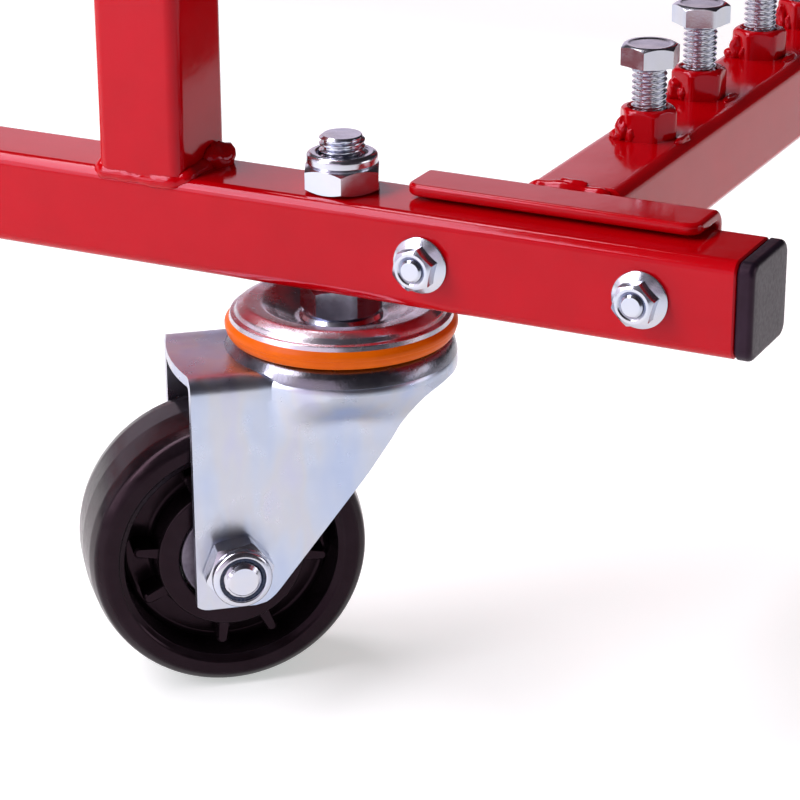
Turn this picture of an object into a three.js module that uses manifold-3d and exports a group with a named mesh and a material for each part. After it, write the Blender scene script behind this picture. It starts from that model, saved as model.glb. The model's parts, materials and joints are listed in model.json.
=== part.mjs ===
// Engine cradle stand: two side frames joined by two bolt-on cross members, on four swivel casters.
// Millimetres, +Z up. X runs along the rails, Y across the stand; the floor is Z = 0 and the
// origin is the middle of the stand on the floor.

import * as THREE from 'three';
import { mergeVertices } from 'three/addons/utils/BufferGeometryUtils.js';
import Module from 'manifold-3d';

const wasm = await Module();
wasm.setup();

const degrees = THREE.MathUtils.degToRad;

// ---------- driving dimensions ----------
const GAP = 0.3;                  // air left between pieces that touch on the real stand

const BITE = 1;                   // how far joined solids and cutting tools reach past a face
const VENT_RADIUS = 4;            // paint drain holes in closed tubes

const TUBE = 25.4;                // side of the square tube
const TUBE_WALL = 2.0;
const TUBE_CORNER = 3.4;
const RAIL_LENGTH = 863.6;
const STAND_WIDTH = 660.4;        // over the outer faces of the two rails
const POST_FROM_END = 166.6;      // post centre to rail end
const POST_HEIGHT = 330;
const STEM_FROM_END = 113.3;      // caster centre to rail end
const CROSS_FROM_END = 54;        // cross member centre to rail end

const PAD = { width: 60, depth: 92, thick: 6, corner: 8 };
const PAD_SLOT = { width: 12, length: 30, inboard: 62 };
const GUSSET = { thick: 5, height: 40, reach: 24, lip: 6, toe: 4 };

const BRACKET = { width: 80, thick: 3.2, bend: 4.6, lip: 17.8, foot: 2.5, corner: 4 };
const BRACKET_BEHIND_RAIL = 0.3;  // air between rail and the bracket's upright leg
const LIP_ABOVE_RAIL = 1;
const CROSS_ABOVE_RAIL = 4.4;     // cross tube top above rail top
const BOLT_SPREAD = 59.6;         // between the two frame bolts of a bracket

// Weld nuts and the bolts in them: beside the tube's centre line, inboard of the rail's outer face,
// turns of nut and bolt, and the bolt head's height above the tube.
const PARKED = [
  { beside: 0.3, inboard: 77.4, nutTurn: degrees(33), boltTurn: degrees(10), under: 19.6 },
  { beside: -2, inboard: 121.2, nutTurn: degrees(4), boltTurn: degrees(49), under: 20.6 },
  { beside: -1.7, inboard: 170.2, nutTurn: degrees(52), boltTurn: degrees(20), under: 20 },
  { beside: -1.7, inboard: 210.2, nutTurn: degrees(58), boltTurn: degrees(40), under: 20 },
];
const PARK_NUT = { flats: 14.3, height: 8.3, bore: 5.1 };
const PARK_BOLT = { flats: 14.3, head: 5.9, radius: 4.5, length: 25.4 };

const M10_HOLE_RADIUS = 5.4;
const FRAME_BOLT = { radius: 2.85, hole: 3.3, flats: 10, head: 4.2, flange: 7.4, flangeThick: 1.4 };
const FRAME_NUT_HEIGHT = 5.8;

const CAP = { flange: 4.3, edge: 1.2, plug: 12, plugClear: 0.4, plugWall: 2 };

const WHEEL = { radius: 37.5, halfWidth: 15.8, edge: 4, rimInner: 28.6, hubOuter: 19.6, hubInner: 14.1 };
const WHEEL_WEB = 5;              // half thickness of the web between hub and rim
const WHEEL_HUB = 14.6;           // half length of the hub
const BUSH = { radius: 13.7, half: 13.8, sleeve: 7.4, sleeveHalf: 16.9, bore: 5.3 };
const TRAIL = 33.6;               // axle behind the swivel axis
const AXLE_DROP = 69.1;           // axle below the rail

const FORK = { half: 20.2, thick: 2.8, tail: 45, head: 30.8, top: -16.8, skirt: 5.8, bottom: -81.3, toe: 4.2 };
const RACE = { inner: 23.5, outer: 30.2, height: 2.2 };
const SEAL = { inner: 26.4, outer: 30.8, top: -8.7, bottom: -14.2 };
const STEM = { radius: 5.9, hole: 7, top: 40, flats: 19, turn: degrees(9), collar: 9.1 };
const RIVET = { radius: 10, top: -20.4, bottom: -24.5 };
const KINGPIN_HOLE = 7;
const STEM_NUT = { flats: 19, turn: degrees(45), hex: 7.2, height: 9.9, collar: 9.3, bore: 6.25 };
const AXLE = { radius: 4.85, flats: 16, head: 6.4, tip: 31 };
const AXLE_NUT = { flats: 16, turn: degrees(38.5), hex: 6.8, height: 9.8, collar: 7.9, bore: 5.25 };

const DISC_SIDES = 20;            // raceway, seal and fork head
const ROUND_SIDES = 12;           // flanges, collars and bushes
const HOLE_SIDES = 8;             // holes and shanks
const WHEEL_SIDES = 24;

// ---------- derived places ----------
const RAIL_BOTTOM = WHEEL.radius + AXLE_DROP;
const RAIL_TOP = RAIL_BOTTOM + TUBE;
const RAIL_Y = STAND_WIDTH / 2 - TUBE / 2;
const RAIL_MIDDLE = RAIL_BOTTOM + TUBE / 2;
const CROSS_X = RAIL_LENGTH / 2 - CROSS_FROM_END;
const STEM_X = RAIL_LENGTH / 2 - STEM_FROM_END;
const POST_X = RAIL_LENGTH / 2 - POST_FROM_END;
const LEG_BACK = TUBE + BRACKET_BEHIND_RAIL + BRACKET.thick;   // bracket back from the rail's outer face

// Corner names: front is +X, right is -Y. The heading is where each caster trails at rest.
const CORNERS = [
  { name: 'front_right', x: 1, y: -1, heading: 220.4 },
  { name: 'rear_left', x: -1, y: 1, heading: 40.4 },
  { name: 'rear_right', x: -1, y: -1, heading: 203 },
  { name: 'front_left', x: 1, y: 1, heading: 23 },
];

// ---------- materials ----------
const finish = (color, roughness, metalness) => () =>
  new THREE.MeshStandardMaterial({ color, roughness, metalness });
const redPaint = finish(0xc4000a, 0.25, 0.1);
const zinc = finish(0xc2c8d4, 0.3, 0.9);
const blackPlastic = finish(0x141416, 0.4, 0.0);
const blackWheel = finish(0x0e0c0e, 0.18, 0.0);
const orangeSeal = finish(0xf07808, 0.45, 0.0);

// ---------- solids ----------
function solid(geometry) {
  const bare = geometry.index ? geometry.toNonIndexed() : geometry;
  bare.deleteAttribute('normal');
  bare.deleteAttribute('uv');
  const merged = mergeVertices(bare, 1e-4);
  return new wasm.Manifold(new wasm.Mesh({
    numProp: 3,
    vertProperties: new Float32Array(merged.attributes.position.array),
    triVerts: new Uint32Array(merged.index.array),
  }));
}

function toGeometry(manifold) {
  const mesh = manifold.getMesh();
  const geometry = new THREE.BufferGeometry();
  geometry.setAttribute('position', new THREE.BufferAttribute(mesh.vertProperties, 3));
  geometry.setIndex(new THREE.BufferAttribute(mesh.triVerts, 1));
  geometry.computeVertexNormals();
  return geometry;
}

const join = (...parts) => parts.reduce((a, b) => a.add(b));
const cut = (body, ...tools) => tools.reduce((a, b) => a.subtract(b), body);

function box(x0, x1, y0, y1, z0, z1) {
  const geometry = new THREE.BoxGeometry(x1 - x0, y1 - y0, z1 - z0);
  return solid(geometry.translate((x0 + x1) / 2, (y0 + y1) / 2, (z0 + z1) / 2));
}

// A round bar, or a prism when it has few sides, along Y or Z. u and v place its centre line
// on the other two axes, in X, Y, Z order.
function bar(axis, radius, from, to, u, v, sides = ROUND_SIDES, turn = 0) {
  const geometry = new THREE.CylinderGeometry(radius, radius, to - from, sides);
  geometry.rotateY(turn);
  const middle = (from + to) / 2;
  if (axis === 'y') geometry.translate(u, middle, v);
  if (axis === 'z') geometry.rotateX(Math.PI / 2).translate(u, v, middle);
  return solid(geometry);
}

const cornerRadius = (flats) => flats / Math.sqrt(3);

// A ring or disc about the Z or Y axis from a closed profile of [radius, height] points.
function turned(profile, axis = 'z', sides = DISC_SIDES) {
  const geometry = new THREE.LatheGeometry(profile.map(([r, h]) => new THREE.Vector2(r, h)), sides);
  return solid(axis === 'z' ? geometry.rotateX(Math.PI / 2) : geometry);
}

function roundedOutline(path, width, height, radius) {
  const x = width / 2 - radius;
  const y = height / 2 - radius;
  path.absarc(x, y, radius, 0, Math.PI / 2);
  path.absarc(-x, y, radius, Math.PI / 2, Math.PI);
  path.absarc(-x, -y, radius, Math.PI, Math.PI * 1.5);
  path.absarc(x, -y, radius, Math.PI * 1.5, Math.PI * 2);
  path.closePath();
  return path;
}

function extruded(shape, depth, curveSegments = 1) {
  return new THREE.ExtrudeGeometry(shape, { depth, bevelEnabled: false, curveSegments });
}

// Square tube centred on its own axis, along Z from 0 to length.
function tubeGeometry(length) {
  const shape = roundedOutline(new THREE.Shape(), TUBE, TUBE, TUBE_CORNER);
  const inside = TUBE - 2 * TUBE_WALL;
  shape.holes.push(roundedOutline(new THREE.Path(), inside, inside, TUBE_CORNER - TUBE_WALL));
  return extruded(shape, length);
}

// The pair of frame bolt holes about a cross member's centre line at x.
function frameBoltHoles(x, from, length) {
  return [-1, 1].map((spread) =>
    bar('y', FRAME_BOLT.hole, from, from + length, x + spread * BOLT_SPREAD / 2, RAIL_MIDDLE, HOLE_SIDES));
}

// ---------- side frame: rail, two posts, two engine pads with gussets ----------
// Built for the right side (-Y), where inboard is +Y.
function engineGusset(x) {
  const shape = new THREE.Shape();
  shape.moveTo(-BITE, BITE);
  shape.lineTo(GUSSET.reach, BITE);
  shape.lineTo(GUSSET.reach, -GUSSET.lip);
  shape.lineTo(GUSSET.toe, -GUSSET.height);
  shape.lineTo(-BITE, -GUSSET.height);
  const geometry = extruded(shape, GUSSET.thick);
  geometry.rotateX(Math.PI / 2).rotateZ(Math.PI / 2);
  geometry.translate(x - GUSSET.thick / 2, -RAIL_Y + TUBE / 2, RAIL_TOP + POST_HEIGHT);
  return solid(geometry);
}

function enginePad(x) {
  const shape = roundedOutline(new THREE.Shape(), PAD.width, PAD.depth, PAD.corner);
  const geometry = extruded(shape, PAD.thick);
  const outer = -STAND_WIDTH / 2;
  const top = RAIL_TOP + POST_HEIGHT;
  geometry.translate(x, outer + PAD.depth / 2, top);
  const slotEnd = PAD_SLOT.width / 2 - 0.01;
  const slotShape = roundedOutline(new THREE.Shape(), PAD_SLOT.length, PAD_SLOT.width, slotEnd);
  const slot = extruded(slotShape, PAD.thick + 2 * BITE, 2);
  slot.translate(x, outer + PAD_SLOT.inboard, top - BITE);
  const vent = bar('z', VENT_RADIUS, top - BITE, top + PAD.thick + BITE, x, -RAIL_Y, HOLE_SIDES);
  return cut(solid(geometry), solid(slot), vent);
}

function sideFrame() {
  const railGeometry = tubeGeometry(RAIL_LENGTH).rotateY(Math.PI / 2);
  railGeometry.translate(-RAIL_LENGTH / 2, -RAIL_Y, RAIL_MIDDLE);
  let frame = solid(railGeometry);
  for (const side of [-1, 1]) {
    const x = side * POST_X;
    const post = tubeGeometry(POST_HEIGHT + 2 * BITE);
    post.translate(x, -RAIL_Y, RAIL_TOP - BITE);
    frame = join(frame, solid(post), enginePad(x), engineGusset(x));
    const stemHole = bar('z', STEM.hole, RAIL_BOTTOM - BITE, RAIL_TOP + BITE, side * STEM_X, -RAIL_Y, HOLE_SIDES);
    frame = cut(frame, stemHole, ...frameBoltHoles(side * CROSS_X, -STAND_WIDTH / 2 - BITE, TUBE + 2 * BITE));
  }
  return toGeometry(frame);
}

// ---------- cross member: tube with a bent, bolt-on bracket at each end ----------
// The bracket's section, with Y measured inboard from the rail's outer face and Z from its bottom.
function bracketSection() {
  const lipTop = TUBE + LIP_ABOVE_RAIL + BRACKET.thick;
  const lipFront = LEG_BACK - BRACKET.lip;
  const inner = BRACKET.bend - BRACKET.thick;
  const shape = new THREE.Shape();
  shape.moveTo(LEG_BACK, BRACKET.foot);
  shape.lineTo(LEG_BACK, lipTop - BRACKET.bend);
  shape.absarc(LEG_BACK - BRACKET.bend, lipTop - BRACKET.bend, BRACKET.bend, 0, Math.PI / 2);
  shape.lineTo(lipFront, lipTop);
  shape.lineTo(lipFront, lipTop - BRACKET.thick);
  shape.lineTo(LEG_BACK - BRACKET.bend, lipTop - BRACKET.thick);
  shape.absarc(LEG_BACK - BRACKET.bend, lipTop - BRACKET.bend, inner, Math.PI / 2, 0, true);
  shape.lineTo(LEG_BACK - BRACKET.thick, BRACKET.foot);
  return shape;
}

function bracket(x) {
  const geometry = extruded(bracketSection(), BRACKET.width, 2);
  geometry.rotateX(Math.PI / 2).rotateZ(Math.PI / 2);
  geometry.translate(x - BRACKET.width / 2, -STAND_WIDTH / 2, RAIL_BOTTOM);
  const trimShape = roundedOutline(new THREE.Shape(), BRACKET.width, 2 * BRACKET.lip, BRACKET.corner);
  const trim = extruded(trimShape, TUBE * 2);
  trim.translate(x, -STAND_WIDTH / 2 + LEG_BACK, RAIL_BOTTOM - TUBE / 2);
  return solid(geometry).intersect(solid(trim));
}

function crossMember(side, withParkNuts) {
  const x = side * CROSS_X;
  const z = RAIL_TOP + CROSS_ABOVE_RAIL - TUBE / 2;
  const start = -STAND_WIDTH / 2 + LEG_BACK;
  const tube = tubeGeometry(2 * (BITE - start)).rotateX(-Math.PI / 2);
  tube.translate(x, start - BITE, z);
  const drilled = cut(bracket(x), ...frameBoltHoles(x, start - LEG_BACK, LEG_BACK + BITE));
  let member = join(solid(tube), drilled, drilled.mirror([0, 1, 0]));
  const top = z + TUBE / 2;
  if (withParkNuts) {
    for (const { beside, inboard, nutTurn } of PARKED) {
      const y = inboard - STAND_WIDTH / 2;
      const radius = cornerRadius(PARK_NUT.flats);
      const nut = bar('z', radius, top - BITE, top + PARK_NUT.height, x + beside, y, 6, nutTurn);
      const bore = bar('z', PARK_NUT.bore, top - TUBE / 2, top + TUBE, x + beside, y, HOLE_SIDES);
      member = cut(join(member, nut), bore);
    }
  } else {
    member = cut(member, bar('z', VENT_RADIUS, z - TUBE, z, x, 0, HOLE_SIDES));
  }
  return toGeometry(member);
}

// ---------- small pieces, each built about its own axis ----------
// Origin at the rail's end face, flange towards +X.
function endCap() {
  const shape = roundedOutline(new THREE.Shape(), TUBE - 2 * CAP.edge, TUBE - 2 * CAP.edge, TUBE_CORNER - CAP.edge);
  const bevel = { bevelEnabled: true, bevelThickness: CAP.edge, bevelSize: CAP.edge, bevelSegments: 1 };
  const flange = new THREE.ExtrudeGeometry(shape, { depth: CAP.flange - 2 * CAP.edge, curveSegments: 1, ...bevel });
  flange.rotateY(Math.PI / 2).translate(GAP + CAP.edge, 0, 0);
  const plugSide = TUBE - 2 * TUBE_WALL - 2 * CAP.plugClear;
  const ring = roundedOutline(new THREE.Shape(), plugSide, plugSide, 1.5);
  const hollow = plugSide - 2 * CAP.plugWall;
  ring.holes.push(roundedOutline(new THREE.Path(), hollow, hollow, 0.8));
  const plug = extruded(ring, CAP.plug + GAP + BITE);
  plug.rotateY(Math.PI / 2).translate(-CAP.plug, 0, 0);
  return toGeometry(join(solid(flange), solid(plug)));
}

// Hexagon with a washer flange, about Y, its flange face at 0 and the hexagon towards -Y.
function flangedHex(height) {
  const flange = bar('y', FRAME_BOLT.flange, -FRAME_BOLT.flangeThick, 0, 0, 0);
  const hex = bar('y', cornerRadius(FRAME_BOLT.flats), -height, 0, 0, 0, 6);
  return join(flange, hex);
}

// Head inboard of the bracket, tip just past the nut on the rail's outer face (at Y = 0).
function frameBolt() {
  const seat = LEG_BACK + GAP;
  const head = flangedHex(FRAME_BOLT.head + FRAME_BOLT.flangeThick).mirror([0, 1, 0]).translate([0, seat, 0]);
  const tip = -FRAME_NUT_HEIGHT - 2 * GAP;
  const shank = bar('y', FRAME_BOLT.radius, tip, seat + BITE, 0, 0, HOLE_SIDES);
  return toGeometry(join(head, shank));
}

function frameNut() {
  const body = flangedHex(FRAME_NUT_HEIGHT).translate([0, -GAP, 0]);
  return toGeometry(cut(body, bar('y', FRAME_BOLT.hole, -FRAME_NUT_HEIGHT - 2 * BITE, BITE, 0, 0, HOLE_SIDES)));
}

// Hexagon bolt about Z, underside of the head at 0.
function parkBolt() {
  const head = bar('z', cornerRadius(PARK_BOLT.flats), 0, PARK_BOLT.head, 0, 0, 6);
  const shank = bar('z', PARK_BOLT.radius, -PARK_BOLT.length, BITE, 0, 0, HOLE_SIDES);
  return toGeometry(join(head, shank));
}

// ---------- caster ----------
// Local frame: swivel axis is Z with the rail's underside at 0, the wheel trails towards +X,
// and the axle runs along Y with its nut on +Y.
function casterStem() {
  const profile = [
    [0, -11.4], [13, -11.4], [22, -8.2], [29.9, -8.2], [27.8, -5.3], [22.4, -5], [12.4, -9.3], [0, -9.3],
  ];
  const dish = turned(profile);
  const collar = bar('z', cornerRadius(STEM.flats), -STEM.collar - BITE, -GAP, 0, 0, 6, STEM.turn);
  const stud = bar('z', STEM.radius, RIVET.bottom, STEM.top, 0, 0, HOLE_SIDES);
  const rivet = bar('z', RIVET.radius, RIVET.bottom, RIVET.top, 0, 0);
  return toGeometry(join(dish, collar, stud, rivet));
}

function casterSeal() {
  const { inner, outer, top, bottom } = SEAL;
  const middle = (top + bottom) / 2;
  const profile = [
    [inner, bottom + GAP], [outer - 1.6, bottom + GAP], [outer, middle], [outer - 1.6, top],
    [inner, top], [inner, bottom + GAP],
  ];
  return toGeometry(turned(profile));
}

function lockNut({ flats, turn, hex, height, collar, bore }) {
  const body = bar('z', cornerRadius(flats), 0, hex, 0, 0, 6, turn);
  const rim = bar('z', collar, hex - BITE, height, 0, 0);
  return toGeometry(cut(join(body, rim), bar('z', bore, -BITE, height + BITE, 0, 0, HOLE_SIDES)));
}

function legShape() {
  const shape = new THREE.Shape();
  shape.moveTo(FORK.tail, FORK.top);
  shape.lineTo(-FORK.half, FORK.top);
  shape.lineTo(-FORK.half, FORK.top - FORK.skirt + BITE);
  shape.quadraticCurveTo(-15, -30, -11.5, -34.6);
  shape.lineTo(22.6, -78.2);
  shape.quadraticCurveTo(25, FORK.bottom, 28.5, FORK.bottom);
  const tailX = FORK.tail - FORK.toe;
  shape.absarc(tailX, FORK.bottom + FORK.toe, FORK.toe, -Math.PI / 2, 0);
  return shape;
}

function fork() {
  const plateShape = new THREE.Shape();
  const meet = Math.asin(FORK.half / FORK.head);
  plateShape.moveTo(FORK.tail, -FORK.half);
  plateShape.lineTo(FORK.tail, FORK.half);
  plateShape.absarc(0, 0, FORK.head, meet, 2 * Math.PI - meet);
  const plate = solid(extruded(plateShape, FORK.thick, DISC_SIDES / 2.5).translate(0, 0, FORK.top - FORK.thick));

  const skirtBottom = FORK.top - FORK.skirt;
  const skirt = cut(
    bar('z', FORK.head, skirtBottom, FORK.top - BITE, 0, 0, DISC_SIDES),
    bar('z', FORK.head - FORK.thick, skirtBottom - BITE, FORK.top, 0, 0, DISC_SIDES),
    box(FORK.half, FORK.tail, -FORK.head, FORK.head, skirtBottom - BITE, FORK.top),
  );

  const legGeometry = () => extruded(legShape(), FORK.thick, 2).rotateX(Math.PI / 2);
  const nearLeg = solid(legGeometry().translate(0, FORK.half, 0));
  const farLeg = solid(legGeometry().translate(0, -FORK.half + FORK.thick, 0));
  const axleHole = bar('y', M10_HOLE_RADIUS, -FORK.head, FORK.head, TRAIL, -AXLE_DROP, HOLE_SIDES);

  const race = cut(
    bar('z', RACE.outer, FORK.top - BITE, FORK.top + RACE.height, 0, 0, DISC_SIDES),
    bar('z', RACE.inner, FORK.top - 2 * BITE, FORK.top + RACE.height + BITE, 0, 0, DISC_SIDES),
  );
  const kingpinHole = bar('z', KINGPIN_HOLE, FORK.top - FORK.skirt, 0, 0, 0, HOLE_SIDES);
  return toGeometry(cut(join(plate, skirt, nearLeg, farLeg, race), axleHole, kingpinHole));
}

function wheel() {
  const { radius, halfWidth, edge, rimInner, hubOuter, hubInner } = WHEEL;
  const half = [
    [hubInner, WHEEL_HUB], [hubOuter, WHEEL_HUB], [hubOuter, WHEEL_WEB], [rimInner, WHEEL_WEB],
    [rimInner, halfWidth], [radius - edge, halfWidth], [radius, halfWidth - edge],
  ];
  const profile = [...half, ...half.map(([r, y]) => [r, -y]).reverse(), half[0]].reverse();
  const geometry = new THREE.LatheGeometry(profile.map(([r, y]) => new THREE.Vector2(r, y)), WHEEL_SIDES);
  geometry.rotateY(Math.PI / WHEEL_SIDES);
  const flatten = 1 / Math.cos(Math.PI / WHEEL_SIDES);
  return toGeometry(solid(geometry.scale(flatten, 1, flatten)));
}

function wheelBush() {
  const body = join(
    bar('y', BUSH.radius, -BUSH.half, BUSH.half, 0, 0),
    bar('y', BUSH.sleeve, -BUSH.sleeveHalf, BUSH.sleeveHalf, 0, 0),
  );
  return toGeometry(cut(body, bar('y', BUSH.bore, -FORK.half, FORK.half, 0, 0, HOLE_SIDES)));
}

function axleBolt() {
  const seat = -FORK.half - GAP;
  const head = bar('y', cornerRadius(AXLE.flats), seat - AXLE.head, seat, 0, 0, 6);
  const shank = bar('y', AXLE.radius, seat - BITE, AXLE.tip, 0, 0, HOLE_SIDES);
  return toGeometry(join(head, shank));
}

// ---------- assembly ----------
const stand = new THREE.Group();

function add(parent, name, geometry, material, x = 0, y = 0, z = 0) {
  const mesh = new THREE.Mesh(geometry, material());
  mesh.name = name;
  mesh.position.set(x, y, z);
  parent.add(mesh);
  return mesh;
}

function addFrames() {
  const frame = sideFrame();
  add(stand, 'side_frame_right', frame, redPaint);
  add(stand, 'side_frame_left', frame, redPaint).rotation.z = Math.PI;
  add(stand, 'cross_member_front', crossMember(1, true), redPaint);
  add(stand, 'cross_member_rear', crossMember(-1, false), redPaint);
}

function addParkedBolts() {
  const top = RAIL_TOP + CROSS_ABOVE_RAIL;
  const bolt = parkBolt();
  PARKED.forEach(({ beside, inboard, boltTurn, under }, i) => {
    const y = inboard - STAND_WIDTH / 2;
    add(stand, `parked_bolt_${i + 1}`, bolt, zinc, CROSS_X + beside, y, top + under).rotation.z = boltTurn;
  });
}

function addCornerHardware(corner) {
  const cap = add(stand, `end_cap_${corner.name}`, endCap(), blackPlastic,
    corner.x * RAIL_LENGTH / 2, corner.y * RAIL_Y, RAIL_MIDDLE);
  cap.rotation.z = corner.x > 0 ? 0 : Math.PI;
  for (const [place, spread] of [['inner', -1], ['outer', 1]]) {
    const x = corner.x * (CROSS_X + spread * BOLT_SPREAD / 2);
    const y = corner.y * STAND_WIDTH / 2;
    const turn = corner.y > 0 ? Math.PI : 0;
    add(stand, `frame_bolt_${corner.name}_${place}`, frameBolt(), zinc, x, y, RAIL_MIDDLE).rotation.z = turn;
    add(stand, `frame_nut_${corner.name}_${place}`, frameNut(), zinc, x, y, RAIL_MIDDLE).rotation.z = turn;
  }
}

function addCaster(corner) {
  const caster = new THREE.Group();
  caster.position.set(corner.x * STEM_X, corner.y * RAIL_Y, RAIL_BOTTOM);
  caster.rotation.z = degrees(corner.heading);
  stand.add(caster);
  const { name } = corner;
  add(caster, `caster_stem_${name}`, casterStem(), zinc);
  add(caster, `caster_seal_${name}`, casterSeal(), orangeSeal);
  add(caster, `stem_nut_${name}`, lockNut(STEM_NUT), zinc, 0, 0, TUBE + GAP);
  add(caster, `caster_fork_${name}`, fork(), zinc);
  add(caster, `wheel_${name}`, wheel(), blackWheel, TRAIL, 0, -AXLE_DROP);
  add(caster, `wheel_bush_${name}`, wheelBush(), zinc, TRAIL, 0, -AXLE_DROP);
  add(caster, `axle_bolt_${name}`, axleBolt(), zinc, TRAIL, 0, -AXLE_DROP);
  const nut = add(caster, `axle_nut_${name}`, lockNut(AXLE_NUT), zinc,
    TRAIL, FORK.half + GAP, -AXLE_DROP);
  nut.rotation.x = -Math.PI / 2;
}

addFrames();
addParkedBolts();
for (const corner of CORNERS) {
  addCornerHardware(corner);
  addCaster(corner);
}

export default stand;
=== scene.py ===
import json
import math

import bmesh
import bpy
from mathutils import Matrix, Vector, noise


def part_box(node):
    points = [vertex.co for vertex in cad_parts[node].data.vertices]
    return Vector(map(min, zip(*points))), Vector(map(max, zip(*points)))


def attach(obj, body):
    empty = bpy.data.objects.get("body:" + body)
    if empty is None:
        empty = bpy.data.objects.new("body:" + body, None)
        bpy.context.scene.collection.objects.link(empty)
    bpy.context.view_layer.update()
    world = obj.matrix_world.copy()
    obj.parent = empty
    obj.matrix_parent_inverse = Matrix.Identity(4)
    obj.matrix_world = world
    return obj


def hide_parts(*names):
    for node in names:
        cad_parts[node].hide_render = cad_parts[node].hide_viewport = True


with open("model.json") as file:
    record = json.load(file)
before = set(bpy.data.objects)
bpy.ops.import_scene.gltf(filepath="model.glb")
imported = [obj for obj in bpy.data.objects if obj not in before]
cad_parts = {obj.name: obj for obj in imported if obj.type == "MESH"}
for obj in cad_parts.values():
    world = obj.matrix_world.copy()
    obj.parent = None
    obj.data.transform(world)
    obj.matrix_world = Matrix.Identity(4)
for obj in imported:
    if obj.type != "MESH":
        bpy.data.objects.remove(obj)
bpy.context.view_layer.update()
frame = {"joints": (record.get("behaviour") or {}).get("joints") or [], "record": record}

# Shapes are built in millimetres about their own origins and scaled to metres when placed.
MM = 0.001
X, Z = Vector((1, 0, 0)), Vector((0, 0, 1))
QUARTER = math.pi / 2
ARC_STEP = math.radians(15)


# ---------- places and driving sizes, read from the frame ----------
def box_mm(node):
    low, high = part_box(node)
    return low / MM, high / MM


def centre(node):
    low, high = box_mm(node)
    return (low + high) / 2


JOINTS = {joint["name"]: joint for joint in frame["joints"]}
PADS = {mount["name"]: Vector(mount["pos_m"]) / MM for mount in frame["record"]["mounts"]}
CORNERS = ("front_right", "front_left", "rear_right", "rear_left")

CAP_LOW, CAP_HIGH = box_mm("end_cap_front_right")        # a cap is as wide and high as its tube
TUBE = round(CAP_HIGH.z - CAP_LOW.z, 1)                  # side of the square tube
RAIL_MIDDLE = centre("end_cap_front_right").z
RAIL_BOTTOM, RAIL_TOP = RAIL_MIDDLE - TUBE / 2, RAIL_MIDDLE + TUBE / 2
RAIL_Y = -centre("end_cap_front_right").y
RAIL_FACE = RAIL_Y + TUBE / 2                            # outer face of a rail
RAIL_END = box_mm("side_frame_right")[1].x
CROSS_X = centre("cross_member_front").x
PAD_X, PAD_TOP = PADS["engine_pad_front_right"].x, PADS["engine_pad_front_right"].z

# ---------- sizes of the visible detail ----------
# Heights on the caster are measured from the rail's underside, where its swivel axis starts.
TUBE_CORNER = 3.4
TUBE_WALL = 2.0
PAD = {"width": 60, "depth": 92, "thick": 6, "corner": 8, "slot": (12, 30), "slot_inboard": 62, "vent": 4}
GUSSET = {"thick": 5, "height": 40, "reach": 24, "lip": 6, "toe": 4}
BRACKET = {"width": 80, "thick": 3.2, "bend": 4.6, "lip": 17.8, "foot": 2.5, "corner": 4, "edge": 1.2}
BRACKET_BEHIND_RAIL = 0.3
LIP_ABOVE_RAIL = 1.0
LEG_BACK = TUBE + BRACKET_BEHIND_RAIL + BRACKET["thick"]
CROSS_TOP = RAIL_TOP + 4.4

PARK_NUT = {"flats": 14.3, "height": 8.3, "bore": 5.1}
PARK_NUT_TURNS = [math.radians(turn) for turn in (33, 4, 52, 58)]
THREE_EIGHTHS = {"radius": 4.76, "pitch": 1.588}
M10 = {"radius": 5.0, "pitch": 1.5}
M12 = {"radius": 6.0, "pitch": 1.75}
PARK_BOLT = {"flats": 14.3, "head": 5.9}
PARK_BOLT_TURNS = [math.radians(turn) for turn in (10, 49, 20, 40)]
FRAME_NUT = {"flats": 10, "flange": 7.4, "thick": 0.9, "height": 5.8, "bolt": 2.95}
FRAME_NUT_TURNS = {"inner": math.radians(-12), "outer": math.radians(-15)}
FRAME_HEAD_HEIGHT = 5.6
BOLT_SIDES = 40
CAP = {"thick": 4.3, "edge": 1.5, "plug": 12}

WHEEL = {"radius": 37.5, "half": 15.8, "hub": 14.6, "hub_outer": 19.6, "hub_inner": 14, "rim": 28.6, "web": 5}
RIB = {"tip": 26, "width": 3, "top": 13.4, "pair": math.radians(16), "first": math.radians(9)}
BUSH = {"radius": 13.6, "half": 13.8, "sleeve": 7.4, "sleeve_half": 16.9, "bore": 5.3}
TRAIL = 33.6
AXLE_DROP = 69.1
FORK = {"half": 20.2, "thick": 2.8, "tail": 44.2, "head": 30.7, "top": -16.8, "bottom": -81.3, "bend": 4.3}
RACE_TOP = -14.1
SEAL = {"inner": 26.6, "outer": 30.8, "top": -8.8, "bottom": -13.9}
STEM = {"top": 40.0, "flats": 19, "turn": math.radians(9)}
STEM_LEAN = (0.7, 0.3)                                   # how far nut and stud stand off the swivel axis
STEM_NUT = {
    "flats": 19, "turn": math.radians(45), "hex": 6.7, "height": 9.9,
    "collar": 9.35, "lip": 6.7, "bore": 6.3}
STEM_FOOT = [(10.8, -9.4), (11.1, -9.0), (10.4, -8.1)]   # (radius, height) points, as in the lists below
KING_PIN_END = [(5.2, -24.3), (9.4, -24.0), (9.9, -23.2), (8.8, -20.6), (5.2, -20.4)]
AXLE = {"flats": 16, "head": 6.4, "shank": 4.95, "thread_from": 24.1, "tip": 31.0}
AXLE_NUT = {
    "flats": 16, "turn": math.radians(38.5), "hex": 6.6, "height": 9.8,
    "collar": 7.9, "lip": 6.0, "bore": 5.3}


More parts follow.
